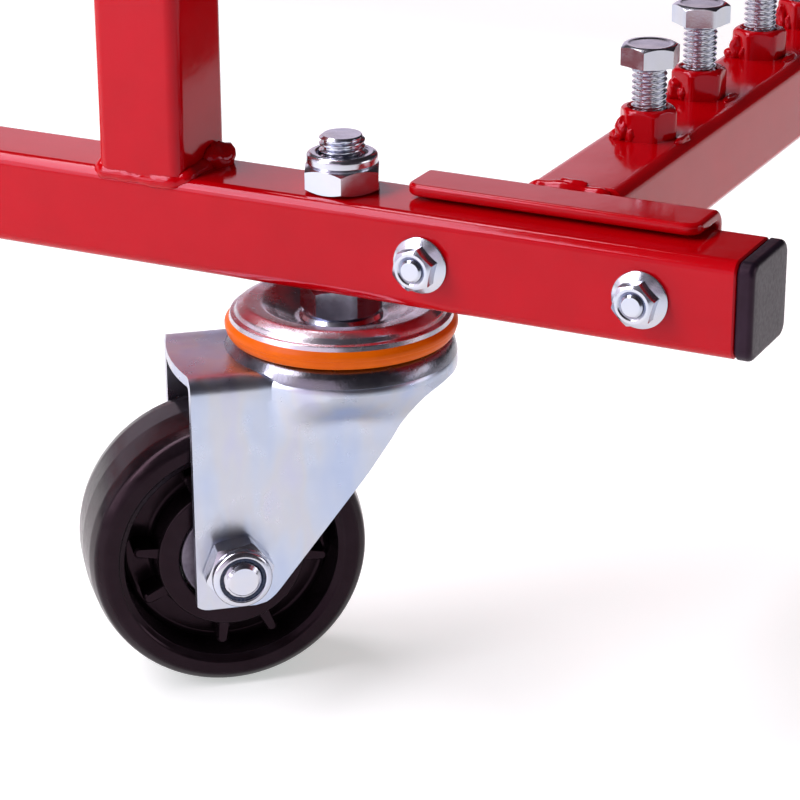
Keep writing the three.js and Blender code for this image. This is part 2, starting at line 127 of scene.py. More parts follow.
# ---------- shells: (points, faces) pairs ----------
def loft(rings, closed=True, loop=False, caps=True):
    """A skin over rings of equally many points. loop joins the last ring to the first."""
    count = len(rings[0])
    faces = []
    for i in range(len(rings) if loop else len(rings) - 1):
        here, there = i * count, (i + 1) % len(rings) * count
        for j in range(count if closed else count - 1):
            k = (j + 1) % count
            faces.append((here + j, here + k, there + k, there + j))
    if caps and not loop:
        last = (len(rings) - 1) * count
        faces.append(tuple(reversed(range(count))))
        faces.append(tuple(range(last, last + count)))
    return [Vector(point) for ring in rings for point in ring], faces


def merged(*shells):
    """Several shells as one."""
    points, faces = [], []
    for more_points, more_faces in shells:
        base = len(points)
        points = points + more_points
        faces = faces + [tuple(base + i for i in face) for face in more_faces]
    return points, faces


def moved(shell, *matrices):
    """A shell carried through matrices, the first one first."""
    matrix = Matrix.Identity(4)
    for step in matrices:
        matrix = step @ matrix
    return [matrix @ point for point in shell[0]], shell[1]


def turn(angle, axis="Z"):
    return Matrix.Rotation(angle, 4, axis)


def shift(x=0.0, y=0.0, z=0.0):
    return Matrix.Translation((x, y, z))


def filleted(corners, closed=False):
    """A 2-D outline of (x, y, radius) corners, rounded by their radii."""
    outline = []
    for i, (x, y, radius) in enumerate(corners):
        here = Vector((x, y))
        if radius == 0 or (not closed and i in (0, len(corners) - 1)):
            outline.append(here)
            continue
        to_last = (Vector(corners[i - 1][:2]) - here).normalized()
        to_next = (Vector(corners[(i + 1) % len(corners)][:2]) - here).normalized()
        half = to_last.angle(to_next) / 2
        middle = here + (to_last + to_next).normalized() * radius / math.sin(half)
        start = here + to_last * radius / math.tan(half) - middle
        end = here + to_next * radius / math.tan(half) - middle
        swing = math.atan2(start.cross(end), start.dot(end))
        steps = max(2, round(abs(swing) / ARC_STEP))
        for k in range(steps + 1):
            outline.append(middle + Matrix.Rotation(swing * k / steps, 2) @ start)
    return [(point.x, point.y) for point in outline]


def ring(radius, height, sides=64):
    """Points round Z. radius and height are numbers or functions of the angle."""
    points = []
    for i in range(sides):
        angle = 2 * math.pi * i / sides
        r = radius(angle) if callable(radius) else radius
        h = height(angle) if callable(height) else height
        points.append((r * math.cos(angle), r * math.sin(angle), h))
    return points


def rings_of(points, sides):
    """Round rings through (radius, height) points."""
    return [ring(radius, height, sides) for radius, height in points]


def turned(profile, sides=64):
    """A lathe shape about Z from (radius, height) points; one that starts off the axis is a closed ring."""
    solid = profile[0][0] == 0
    rings = rings_of([point for point in profile if point[0] > 0], sides)
    return loft(rings, loop=not solid, caps=solid)


def eased(value, start, end):
    """How far a value is from start to end, as a share from 0 to 1 that starts and stops gently."""
    share = min(1.0, max(0.0, (value - start) / (end - start)))
    return share * share * (3 - 2 * share)


def rectangle(length, width, corner):
    """Outline of a rectangle about the middle, with round corners."""
    x, y = length / 2, width / 2
    return filleted([(x, y, corner), (-x, y, corner), (-x, -y, corner), (x, -y, corner)], closed=True)


def square(side, corner, height):
    return [(x, y, height) for x, y in rectangle(side, side, corner)]


def square_tube(length, edge=0.5):
    """Square tube along Z from 0, open at both ends, with its cut edges eased."""
    inside = TUBE - 2 * TUBE_WALL
    inside_corner = TUBE_CORNER - TUBE_WALL
    return loft([
        square(TUBE - 2 * edge, TUBE_CORNER - edge, 0),
        square(TUBE, TUBE_CORNER, edge),
        square(TUBE, TUBE_CORNER, length - edge),
        square(TUBE - 2 * edge, TUBE_CORNER - edge, length),
        square(inside, inside_corner, length),
        square(inside, inside_corner, 0),
    ], loop=True)


def slab(outline, bottom, top, edge=0.0):
    """An outline of (x, y) points, thick along Z, with eased edges drawn towards its middle."""
    middle = sum((Vector(point) for point in outline), Vector((0, 0))) / len(outline)

    def level(height, inset):
        points = []
        for point in outline:
            away = Vector(point) - middle
            near = middle + away * (1 - inset / max(away.length, inset))
            points.append((near.x, near.y, height))
        return points

    if edge == 0:
        return loft([level(bottom, 0), level(top, 0)])
    return loft([
        level(bottom, edge), level(bottom + edge, 0), level(top - edge, 0), level(top, edge)])


# ---------- threads and hexagons ----------
HEX_SIDES = 72
CHAMFER = math.radians(30)
THREAD_SIDES = 36
THREAD_STEPS = 10                  # rings in one pitch


def hexagon_radius(flats, start=0.0):
    """Radius of a hexagon at an angle; its flats face `start` and every 60 degrees on."""
    sixth = math.pi / 3

    def radius(angle):
        off = (angle - start + sixth / 2) % sixth - sixth / 2
        return flats / 2 / math.cos(off)
    return radius


def soft_hexagon_radius(flats, start, crispness=16):
    """Radius of a hexagon whose corners are rounded by thick paint."""
    sixth = math.pi / 3

    def radius(angle):
        total = sum(max(0.0, math.cos(angle - start - k * sixth)) ** crispness for k in range(6))
        return flats / 2 / total ** (1 / crispness)
    return radius


def hexagon_rings(flats, bottom, top, start=0.0, chamfers=(0.0, 0.96)):
    """Rings of a hexagon whose ends are chamfered to circles of these shares of its half flats.
    A share of 0 leaves that end sharp."""
    radius = hexagon_radius(flats, start)
    rings = []
    for share, end, inward in ((chamfers[0], bottom, 1), (chamfers[1], top, -1)):
        circle = share * flats / 2

        def edge(angle, circle=circle, end=end, inward=inward):
            return end + inward * (radius(angle) - circle) * math.tan(CHAMFER)

        pair = [ring(circle, end, HEX_SIDES), ring(radius, edge, HEX_SIDES)] if share else [
            ring(radius, end, HEX_SIDES)]
        rings += pair if inward > 0 else pair[::-1]
    return rings


def thread_rings(size, bottom, top, chamfer=(0.0, 0.0)):
    """Rings of a right-hand thread, tapering over the chamfer lengths at its bottom and top."""
    depth = 0.58 * size["pitch"]
    crest, root = 0.16, 0.8        # shares of half a pitch where crest ends and root begins
    count = max(2, round((top - bottom) / size["pitch"] * THREAD_STEPS))
    rings = []
    for i in range(count + 1):
        height = bottom + (top - bottom) * i / count

        def radius(angle, height=height):
            phase = (height / size["pitch"] - angle / (2 * math.pi)) % 1
            taper = max(0, chamfer[0] - (height - bottom), chamfer[1] - (top - height))
            return size["radius"] - max(depth * eased(abs(2 * phase - 1), crest, root), taper)
        rings.append(ring(radius, height, THREAD_SIDES))
    return rings


# ---------- pieces ----------
SHARP_ANGLE = 38                   # degrees between faces from which an edge is crisp


def soften(thing, width, segments=3):
    """Rounds a piece's sharp edges by a width in millimetres."""
    bevel = thing.modifiers.new("eased_edges", "BEVEL")
    bevel.width = width * MM
    bevel.segments = segments
    bevel.limit_method = "ANGLE"
    bevel.angle_limit = math.radians(SHARP_ANGLE)
    bevel.harden_normals = True


def linked(name, data):
    """Mesh, lamp or camera data as an object in the scene."""
    thing = bpy.data.objects.new(name, data)
    bpy.context.scene.collection.objects.link(thing)
    return thing


def meshed(name, shell, material=None, place=None):
    """A shell as an object in the scene, placed by a matrix in millimetres."""
    mesh = bpy.data.meshes.new(name)
    mesh.from_pydata([point * MM for point in shell[0]], [], shell[1])
    if material:
        mesh.materials.append(material)
    thing = linked(name, mesh)
    if place is not None:
        thing.matrix_world = Matrix.Translation(place.translation * MM) @ place.to_3x3().to_4x4()
    return thing


def piece(name, shell, material, body, node=None, slot=None, place=None, smooth=SHARP_ANGLE, edge=0.0):
    """Places a shell as a named piece on a body, in place of a CAD node if one is given. Edges sharper than
    `smooth` degrees stay crisp, or are rounded by `edge` millimetres."""
    thing = meshed(name, shell, material, place)
    mesh = thing.data
    outward = bmesh.new()
    outward.from_mesh(mesh)
    bmesh.ops.recalc_face_normals(outward, faces=outward.faces)
    outward.to_mesh(mesh)
    outward.free()
    mesh.shade_smooth()
    mesh.set_sharp_from_angle(angle=math.radians(smooth))
    if edge:
        soften(thing, edge, segments=2)
    thing.modifiers.new("even_shading", "WEIGHTED_NORMAL").keep_sharp = True
    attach(thing, body)
    if node:
        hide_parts(node)
    return thing


# ---------- materials ----------
def feed(tree, value, socket):
    """Links a node's output to a socket, or gives the socket a plain value."""
    if isinstance(value, bpy.types.NodeSocket):
        tree.links.new(value, socket)
    else:
        socket.default_value = value


class Shader:
    """A node material about one Principled shader, with short calls for the nodes used here."""

    def __init__(self, name, **values):
        self.material = bpy.data.materials.new(name)
        self.material.use_nodes = True
        self.tree = self.material.node_tree
        self.shader = self.tree.nodes["Principled BSDF"]
        for socket, value in values.items():
            self.shader.inputs[socket.replace("_", " ")].default_value = value
        self.place = self.tree.nodes.new("ShaderNodeTexCoord").outputs["Object"]

    def link(self, output, socket):
        self.tree.links.new(output, self.shader.inputs[socket])

    def noise(self, size, detail=3.0, roughness=0.5, stretch=None):
        """Noise whose blotches are about `size` millimetres across."""
        node = self.tree.nodes.new("ShaderNodeTexNoise")
        node.inputs["Scale"].default_value = 1 / (size * MM)
        node.inputs["Detail"].default_value = detail
        node.inputs["Roughness"].default_value = roughness
        source = self.place
        if stretch:
            mapping = self.tree.nodes.new("ShaderNodeMapping")
            mapping.inputs["Scale"].default_value = stretch
            self.tree.links.new(source, mapping.inputs["Vector"])
            source = mapping.outputs["Vector"]
        self.tree.links.new(source, node.inputs["Vector"])
        return node.outputs["Fac"]

    def ramp(self, factor, *stops):
        """A colour ramp of (position, colour) stops; a bare number is a grey."""
        node = self.tree.nodes.new("ShaderNodeValToRGB")
        elements = node.color_ramp.elements
        while len(elements) < len(stops):
            elements.new(0.5)
        for element, (position, colour) in zip(elements, stops):
            element.position = position
            grey = isinstance(colour, (int, float))
            element.color = (colour, colour, colour, 1) if grey else (*colour, 1)
        self.tree.links.new(factor, node.inputs["Fac"])
        return node.outputs["Color"]

    def mix(self, factor, first, second):
        """A mix of two colours."""
        node = self.tree.nodes.new("ShaderNodeMix")
        node.data_type = "RGBA"
        for socket, value in (("Factor", factor), (6, first), (7, second)):
            feed(self.tree, value, node.inputs[socket])
        return node.outputs[2]

    def colours(self, factor, dark, light, stops=(0.3, 0.7)):
        """Blotches of two colours over the base."""
        self.link(self.ramp(factor, (stops[0], dark), (stops[1], light)), "Base Color")

    def gloss(self, factor, low, high, stops=(0.3, 0.7)):
        """Roughness that wanders from low to high."""
        self.link(self.ramp(factor, (stops[0], low), (stops[1], high)), "Roughness")

    def bump(self, *layers):
        """Bump from (height, millimetres, strength) layers, laid one on another."""
        normal = None
        for height, depth, strength in layers:
            node = self.tree.nodes.new("ShaderNodeBump")
            node.inputs["Distance"].default_value = depth * MM
            node.inputs["Strength"].default_value = strength
            self.tree.links.new(height, node.inputs["Height"])
            if normal is not None:
                self.tree.links.new(normal, node.inputs["Normal"])
            normal = node.outputs["Normal"]
        self.link(normal, "Normal")
        return self.material


MAGENTA_SHEEN = (1.0, 0.60, 0.80, 1)      # the studio's slightly warm pink cast on plain reflections


def red_paint():
    """Glossy red powder coat: slight orange peel and faint cloudiness."""
    s = Shader("red_powder_coat", IOR=1.38, Specular_Tint=MAGENTA_SHEEN)
    s.colours(s.noise(14, detail=2), (0.415, 0.0, 0.002), (0.455, 0.0, 0.003))
    s.gloss(s.noise(5, detail=2), 0.09, 0.13)
    return s.bump((s.noise(2.6, detail=1.5), 0.06, 0.3), (s.noise(22, detail=0), 0.5, 0.22))


def zinc(name, roughness=(0.22, 0.36), grain=0.35, tint=0.6, base=(0.52, 0.57, 0.69), grain_size=0.55):
    """Bright zinc plate: bluish white with faint yellow, pink and blue clouds and a fine frosted grain."""
    s = Shader(name, Metallic=1.0)
    clouds = s.ramp(
        s.noise(16, detail=2.5, roughness=0.5, stretch=(1.6, 1.6, 0.5)),
        (0.30, (0.44, 0.53, 0.73)), (0.48, (0.55, 0.60, 0.70)), (0.58, (0.60, 0.60, 0.62)),
        (0.72, (0.55, 0.55, 0.70)))
    s.link(s.mix(tint, (*base, 1), clouds), "Base Color")
    s.gloss(s.noise(4.5, detail=3, roughness=0.6), *roughness)
    return s.bump((s.noise(grain_size, detail=1), 0.03, grain), (s.noise(9, detail=1.5), 0.16, 0.22))


def black_wheel():
    """Glossy black moulded wheel with faint flow marks and a dusting of fine pits."""
    s = Shader("black_polyolefin", IOR=1.25, Specular_Tint=MAGENTA_SHEEN)
    s.colours(s.noise(8), (0.005, 0.003, 0.004), (0.009, 0.006, 0.008), stops=(0.35, 0.7))
    s.gloss(s.noise(2.2, detail=3), 0.15, 0.25, stops=(0.3, 0.72))
    return s.bump((s.noise(1.1, detail=2), 0.03, 0.2), (s.noise(12, detail=1), 0.3, 0.2))


def black_cap():
    """Satin black plug plastic with a fine moulded texture."""
    s = Shader("black_cap_plastic", IOR=1.34, Specular_Tint=MAGENTA_SHEEN)
    s.colours(s.noise(5), (0.008, 0.004, 0.009), (0.014, 0.008, 0.016))
    s.gloss(s.noise(1.2, detail=4), 0.30, 0.42)
    return s.bump((s.noise(0.5, detail=3), 0.05, 0.3), (s.noise(7, detail=1), 0.25, 0.2))


def orange_seal():
    """Soft orange rubber with a slightly deeper tone in patches."""
    s = Shader("orange_seal_rubber", IOR=1.26, Specular_Tint=MAGENTA_SHEEN)
    s.colours(s.noise(7), (0.64, 0.10, 0.0), (0.71, 0.125, 0.0))
    s.gloss(s.noise(1.6, detail=3), 0.30, 0.44)
    return s.bump((s.noise(0.9, detail=2), 0.04, 0.3))


def bush_steel():
    """Grey sintered steel."""
    s = Shader("grey_bush_steel", Metallic=0.75)
    s.colours(s.noise(2.5, detail=4), (0.13, 0.11, 0.15), (0.21, 0.18, 0.23))
    s.gloss(s.noise(0.8, detail=3), 0.34, 0.5)
    return s.bump((s.noise(0.6, detail=3), 0.05, 0.35))


def nylon():
    """Dark blue nylon locking ring."""
    s = Shader("blue_nylon", IOR=1.45)
    s.colours(s.noise(2), (0.003, 0.010, 0.040), (0.006, 0.022, 0.070))
    s.gloss(s.noise(0.7), 0.22, 0.36)
    return s.bump((s.noise(0.6), 0.04, 0.3))


RED = red_paint()
ZINC_FORK = zinc("zinc_pressing", roughness=(0.26, 0.36), grain=0.12, tint=0.6, base=(0.42, 0.45, 0.57))
# The shoulder's zinc is grainy and painted dark grey: painted shade for the dim shoulder under the seal.
ZINC_GRAINY_PAINTED_SHADE = zinc(
    "zinc_bend_painted_shade", roughness=(0.18, 0.30), grain=0.9, tint=0.15, base=(0.15, 0.14, 0.17), grain_size=0.8)
# The dish's zinc has a pinkish base: a painted reflection of the red rail above it.
ZINC_RACE = zinc("zinc_race", roughness=(0.20, 0.30), grain=0.35, tint=0.3, base=(0.66, 0.60, 0.66))
ZINC_BOLT = zinc("zinc_bolt", roughness=(0.15, 0.25), grain=0.25, tint=0.35, base=(0.56, 0.56, 0.63))
WHEEL_BLACK = black_wheel()
CAP_BLACK = black_cap()
SEAL_ORANGE = orange_seal()
BUSH_GREY = bush_steel()
NYLON = nylon()


def red_piece(name, shell, node=None, **more):
    """A painted piece of the frame."""
    return piece(name, shell, RED, "frame", node, "red_paint", **more)


def detail(node, shell, material, body, slot, place, smooth=30):
    """The detailed piece that stands in for one whole CAD node."""
    return piece(node + "_detail", shell, material, body, node, slot, place, smooth)


# ---------- welds ----------
WELD_SMOOTH = 60                   # weld beads are smooth over all but their sharpest creases


def weld_bead(path, radius, seed, loop=False, ripple=2.4, sides=10):
    """A lumpy painted bead along a path of points. radius is in millimetres, or one per point."""
    lump_size, lump_share, ripple_share = 0.22, 0.30, 0.06
    points = [Vector(point) for point in path]
    count = len(points)
    offset = Vector((seed * 7.3, seed * 3.1, seed))
    rings = []
    run = 0.0
    for i, point in enumerate(points):
        ahead = points[(i + 1) % count] if loop or i < count - 1 else point
        behind = points[i - 1] if loop or i > 0 else point
        along = (ahead - behind).normalized()
        side = along.cross(Z if abs(along.z) < 0.9 else X).normalized()
        up = side.cross(along)
        size = radius[i] if isinstance(radius, (list, tuple)) else radius
        run += (point - behind).length
        taper = 1.0 if loop else min(1.0, 0.25 + min(i, count - 1 - i) * 0.45)
        here = []
        for j in range(sides):
            angle = 2 * math.pi * j / sides
            out = side * math.cos(angle) + up * math.sin(angle)
            bumps = noise.noise((point + out * size) * lump_size + offset)
            lumps = 1 + lump_share * bumps + ripple_share * math.sin(2 * math.pi * run / ripple)
            here.append(point + out * size * taper * lumps)
        rings.append(here)
    return loft(rings, loop=loop)


def line(start, end, step=1.2):
    """Evenly spaced points from start to end."""
    start, end = Vector(start), Vector(end)
    count = max(2, round((end - start).length / step))
    return [start.lerp(end, i / count) for i in range(count + 1)]


def weld_blob(middle, radii, seed, steps=12):
    """A lump of weld: an uneven ball, mostly sunk in what it joins."""
    rings = []
    for i in range(1, steps):
        polar = math.pi * i / steps
        here = []
        for j in range(2 * steps):
            angle = math.pi * j / steps
            wide = math.sin(polar)
            way = Vector((wide * math.cos(angle), wide * math.sin(angle), -math.cos(polar)))
            size = 1 + 0.35 * noise.noise(way * 1.4 + Vector((seed, seed * 2.7, 0)))
            here.append(Vector(middle) + Vector([way[k] * radii[k] * size for k in range(3)]))
        rings.append(here)
    return loft(rings)


# ---------- red frame ----------
def post_weld(x, side, seed):
    """The bead round a post's foot: thin where post and rail are flush, fuller along the rail's top."""
    flush_from, flush_reach = 8.5, 3.5
    outline = rectangle(TUBE, TUBE, TUBE_CORNER)
    path, sizes = [], []
    for i, (px, py) in enumerate(outline):
        qx, qy = outline[(i + 1) % len(outline)]
        steps = max(1, round(math.hypot(qx - px, qy - py) / 1.3))
        for k in range(steps):
            u, v = px + (qx - px) * k / steps, py + (qy - py) * k / steps
            flush = min(1.0, max(0.0, (abs(v) - flush_from) / flush_reach))
            path.append((x + u, side * RAIL_Y + v * (1 - 0.075 * flush), RAIL_TOP - 1.1 * flush))
            sizes.append(2.6 - 0.75 * flush)
    return weld_bead(path, sizes, seed, loop=True)


def build_engine_pad(x, side, name):
    """A pad that reaches inboard from its post, with a slot for an engine mount and a paint vent."""
    thick, depth = PAD["thick"], PAD["depth"]
    under = PAD_TOP - thick
    plate = slab(rectangle(PAD["width"], depth, PAD["corner"]), 0, thick)
    inboard = turn(math.pi if side > 0 else 0)
    plate = moved(plate, shift(y=depth / 2), inboard, shift(x, side * RAIL_FACE, under))
    thing = red_piece(f"engine_pad_{name}", plate)
    slot_width, slot_length = PAD["slot"]
    slot = slab(rectangle(slot_length, slot_width, slot_width / 2 - 0.01), -2, thick + 2)
    vent = turned([(0, -2), (PAD["vent"], -2), (PAD["vent"], thick + 2), (0, thick + 2)], 32)
    cut_with(thing, [
        moved(slot, shift(x, side * (RAIL_FACE - PAD["slot_inboard"]), under)),
        moved(vent, shift(x, side * RAIL_Y, under))])
    soften(thing, 0.9)


def engine_gusset(x, side):
    """The upright plate that props a pad on its post."""
    sunk = -1.5
    outline = [
        (sunk, 0), (GUSSET["reach"], 0), (GUSSET["reach"], -GUSSET["lip"]),
        (GUSSET["toe"], -GUSSET["height"]), (sunk, -GUSSET["height"])]
    half = GUSSET["thick"] / 2
    upright = moved(slab(outline, -half, half), turn(QUARTER, "X"), turn(QUARTER))
    inboard = side * (RAIL_Y - TUBE / 2)
    return moved(upright, turn(math.pi if side > 0 else 0), shift(x, inboard, PAD_TOP - PAD["thick"]))


def cut_with(thing, shells):
    """Cuts shells out of a piece's mesh."""
    for shell in shells:
        cutter = meshed("cutter", shell)
        modifier = thing.modifiers.new("cut", "BOOLEAN")
        modifier.object = cutter
        modifier.solver = "EXACT"
        bpy.context.view_layer.update()
        result = bpy.data.meshes.new_from_object(thing.evaluated_get(bpy.context.evaluated_depsgraph_get()))
        thing.modifiers.remove(modifier)
        thing.data = result
        bpy.data.objects.remove(cutter)


def build_side_frame(side):
    """One rail with its two posts, their welds and their pads."""
    name = "left" if side > 0 else "right"
    rail = moved(square_tube(2 * RAIL_END), turn(QUARTER, "Y"), shift(-RAIL_END, side * RAIL_Y, RAIL_MIDDLE))
    red_piece(f"rail_{name}", rail, f"side_frame_{name}")
    for end, x in (("front", PAD_X), ("rear", -PAD_X)):
        place = f"{end}_{name}"
        seed = 3 + 5 * side + (2 if end == "front" else 0)
        post = square_tube(PAD_TOP - PAD["thick"] - RAIL_TOP + 1)
        red_piece(f"post_{place}", moved(post, shift(x, side * RAIL_Y, RAIL_TOP - 1)))
        lump_spot = (x + TUBE / 2 + 1.2, side * (RAIL_Y - 5.5), RAIL_TOP + 0.6)
        foot = merged(post_weld(x, side, seed), weld_blob(lump_spot, (4.2, 6.0, 5.2), seed + 1))
        red_piece(f"foot_weld_{place}", foot, smooth=WELD_SMOOTH)
        build_engine_pad(x, side, place)
        red_piece(f"gusset_{place}", engine_gusset(x, side), edge=0.7)
        build_pad_welds(x, side, place, seed)


def build_pad_welds(x, side, place, seed):
    """Beads under a pad: across the post's front and back, and along both sides of the gusset."""
    under = PAD_TOP - PAD["thick"] + 0.2
    half = TUBE / 2 + 0.4
    middle = side * RAIL_Y
    beads = []
    for way in (-1, 1):
        across = line((x + way * half, middle - half + 2, under), (x + way * half, middle + half - 2, under))
        beads.append(weld_bead(across, 2.2, seed + way))
    inner = side * (RAIL_Y - TUBE / 2)
    reach = inner - side * (GUSSET["reach"] - 3)
    foot = under - GUSSET["height"] + 3
    for way in (-1, 1):
        edge = x + way * (GUSSET["thick"] / 2 + 0.3)
        out = line((edge, inner - side * 2, under), (edge, reach, under))
        down = line((edge, inner, under - 3), (edge, inner, foot))
        beads.append(weld_bead(out, 1.8, seed + 4 + way))
        beads.append(weld_bead(down, 1.8, seed + 7 + way))
    red_piece(f"pad_weld_{place}", merged(*beads), smooth=WELD_SMOOTH)


# ---------- cross members ----------
def bracket_shell():
    """The bent plate at the right end of a cross member: X across, Y inboard from the rail's face, Z from its
    underside. Rings of the plate's flat outline, with rounded edges, are folded over the bend."""
    thick, bend, corner, edge = (BRACKET[size] for size in ("thick", "bend", "corner", "edge"))
    half = BRACKET["width"] / 2
    top = TUBE + LIP_ABOVE_RAIL + thick
    flat = BRACKET["lip"] - bend
    arc = bend * QUARTER
    length = flat + arc + top - bend - BRACKET["foot"]
    steps = 8

    def fold(across, along, depth):
        if along <= flat:
            return across, LEG_BACK - BRACKET["lip"] + along, top - depth
        angle = min(QUARTER, (along - flat) / bend)
        down = max(0.0, along - flat - arc)
        reach = bend - depth
        return across, LEG_BACK - bend + reach * math.sin(angle), top - bend + reach * math.cos(angle) - down

    sides = [length] + [flat + arc * k / steps for k in range(steps, -1, -1)] + [corner]

    def outline(inset, depth):
        points = [(half - inset, min(along, length - inset)) for along in sides]
        reach = corner - inset
        for angle in turns[1:]:
            points.append((half - corner + reach * math.cos(angle), corner - reach * math.sin(angle)))
        points += [(-across, along) for across, along in reversed(points)]
        return [fold(across, along, depth) for across, along in points]

    turns = [QUARTER * k / steps for k in range(steps + 1)]
    rounding = [(edge * (1 - math.sin(angle)), edge * (1 - math.cos(angle))) for angle in turns]
    rings = [outline(inset, depth) for inset, depth in rounding]
    rings += [outline(inset, thick - depth) for inset, depth in reversed(rounding)]
    points, faces = loft(rings, caps=False)
    count, straight = len(rings[0]), len(sides)
    for base in (0, (len(rings) - 1) * count):
        for i in range(straight - 1):
            faces.append((base + i, base + i + 1, base + count - 2 - i, base + count - 1 - i))
        faces.append(tuple(range(base + straight - 1, base + count - straight + 1)))
    return points, faces


def sheet_piece(name, skin, thick, edge, material, body, node, place):
    """A pressed sheet part from its outer skin, whose faces look outward."""
    thing = meshed(name, skin, material, place)
    joined = bmesh.new()
    joined.from_mesh(thing.data)
    bmesh.ops.remove_doubles(joined, verts=joined.verts, dist=0.01 * MM)
    joined.to_mesh(thing.data)
    joined.free()
    thing.data.shade_smooth()
    solidify = thing.modifiers.new("thickness", "SOLIDIFY")
    solidify.thickness = thick * MM
    solidify.offset = -1
    solidify.use_even_offset = True
    soften(thing, edge, segments=2)
    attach(thing, body)
    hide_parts(node)


def weld_nut(spin):
    """A nut under thick paint: rounded corners, soft chamfer and a bare bore."""
    bore, top, flats = PARK_NUT["bore"], PARK_NUT["height"], PARK_NUT["flats"]
    radius = soft_hexagon_radius(flats, spin)
    widest = flats / 2 * 0.97 + 0.9

    def level(height, inset=0.0, dip=0.0, limit=flats):
        """A ring within a circle, whose corners sit lower by `dip` for each millimetre they stand out."""
        return ring(
            lambda angle: min(radius(angle), limit) - inset,
            lambda angle: height - dip * (radius(angle) - flats / 2), HEX_SIDES)

    rings = [ring(bore, 0, HEX_SIDES), level(0), level(1.0), level(top - 0.9, dip=0.75)]
    rings += [level(top - 0.35, 0.25, 0.6, widest), level(top - 0.05, 0.8, 0.3, widest)]
    rings += rings_of([(flats / 2 - 1.3, top), (bore + 0.7, top - 0.1), (bore, top - 0.7)], HEX_SIDES)
    return loft(rings, loop=True)


def build_cross_member(end):
    """A cross tube with its two brackets, and its weld nuts at the front or a paint vent at the rear."""
    x = CROSS_X if end == "front" else -CROSS_X
    start = -RAIL_FACE + LEG_BACK
    tube = moved(square_tube(-2 * start), turn(-QUARTER, "X"), shift(x, start, CROSS_TOP - TUBE / 2))
    thing = red_piece(f"cross_tube_{end}", tube, f"cross_member_{end}")
    for side, name in ((-1, "right"), (1, "left")):
        face = turn(math.pi) if side > 0 else Matrix.Identity(4)
        place = shift(x, side * RAIL_FACE, RAIL_BOTTOM) @ face
        red_piece(f"bracket_{end}_{name}", bracket_shell(), place=place)
        build_bracket_weld(x, side, end, name)
    if end == "front":
        build_weld_nuts()
    else:
        vent = turned([(0, -4), (4, -4), (4, 4), (0, 4)], 32)
        cut_with(thing, [moved(vent, shift(x, 0, CROSS_TOP - TUBE))])


def build_bracket_weld(x, side, end, name):
    """Beads where a cross tube meets its bracket: over the top with a fuller start, and down both sides."""
    seed = 11 + 3 * side + (1 if end == "front" else 0)
    half = TUBE / 2
    back = side * (RAIL_FACE - LEG_BACK)
    outboard, inboard = back + side * 0.6, back - side * 0.6
    top = line((x - half, outboard, CROSS_TOP - 1.7), (x + half * 0.8, outboard, CROSS_TOP - 1.9))
    sizes = [2.2 + 0.4 * math.exp(-((i / len(top) - 0.42) / 0.16) ** 2) for i in range(len(top))]
    beads = [
        weld_bead(top, sizes, seed),
        weld_blob((x - 1.2, inboard, CROSS_TOP - 0.4), (4.8, 2.6, 1.6), seed + 2)]
    for way in (-1, 1):
        edge = x + way * (half + 0.3)
        down = line((edge, inboard, CROSS_TOP - 3), (edge, inboard, CROSS_TOP - TUBE + 3))
        beads.append(weld_bead(down, 2.3, seed + 5 + way))
    red_piece(f"bracket_weld_{end}_{name}", merged(*beads), smooth=WELD_SMOOTH)


NUT_TACKS = [                      # lumps of weld at each nut: place from its middle, radii
    ((-4.9, -5.0, 2.4), (2.4, 2.6, 4.0)), ((-6.6, -4.9, 0.4), (2.4, 2.4, 2.2)),
    ((-2.4, -6.5, 1.4), (1.5, 1.3, 2.6)), ((9.5, 0.5, -0.6), (1.5, 5.4, 1.6))]


def build_weld_nuts():
    """The nuts welded on the front cross tube, each under the bolt it holds."""
    for i, spin in enumerate(PARK_NUT_TURNS):
        bolt = centre(f"parked_bolt_{i + 1}")
        spot = Vector((bolt.x, bolt.y, CROSS_TOP))
        red_piece(f"weld_nut_{i + 1}", moved(weld_nut(spin), shift(*spot)), smooth=32)
        tacks = [
            weld_blob(spot + Vector(place), radii, 21 + 4 * k + i)
            for k, (place, radii) in enumerate(NUT_TACKS)]
        red_piece(f"nut_tacks_{i + 1}", merged(*tacks), smooth=WELD_SMOOTH)


# ---------- fasteners ----------
def build_parked_bolts():
    """The spare bolts that are kept screwed into the weld nuts."""
    flats, head = PARK_BOLT["flats"], PARK_BOLT["head"]
    washer, dish, seat = flats * 0.46, flats * 0.40, 0.35
    for i, spin in enumerate(PARK_BOLT_TURNS):
        node = f"parked_bolt_{i + 1}"
        bottom, top = box_mm(node)
        under = top.z - head
        rings = rings_of([(4.4, 0), (washer, 0), (washer, seat)], HEX_SIDES)
        rings += hexagon_rings(flats, seat, head, spin, (0.0, 0.94))
        rings += rings_of([(dish, head), (dish - 0.5, head - 0.22)], HEX_SIDES)
        thread = thread_rings(THREE_EIGHTHS, bottom.z - under, 0.2, chamfer=(1.0, 0.0))
        spot = centre(node)
        detail(node, merged(loft(rings), loft(thread)), ZINC_BOLT, "frame", "zinc",
               shift(spot.x, spot.y, under), smooth=32)


def flange_rings(height, with_bore):
    """Rings from the seat at 0 up: a washer flange, its cone, and a chamfered hexagon."""
    flats, flange, thick = FRAME_NUT["flats"], FRAME_NUT["flange"], FRAME_NUT["thick"]
    radius = hexagon_radius(flats)
    cone_top = thick + 1.1
    rings = rings_of([
        (flange - 0.2, 0), (flange, 0.2), (flange, thick - 0.2), (flange - 0.25, thick)], HEX_SIDES)
    rings.append(ring(radius, lambda angle: cone_top - (radius(angle) - flats / 2) * 0.6, HEX_SIDES))
    rings += hexagon_rings(flats, cone_top, height, 0.0, (0.0, 0.9))[1:]
    if not with_bore:
        return rings + rings_of([(flats * 0.38, height), (flats * 0.34, height - 0.2)], HEX_SIDES)
    bore = FRAME_NUT["bolt"] + 0.1
    rings += rings_of([(bore + 0.75, height), (bore, height - 0.6), (bore, 1)], HEX_SIDES)
    return [ring(bore, 0, HEX_SIDES)] + rings


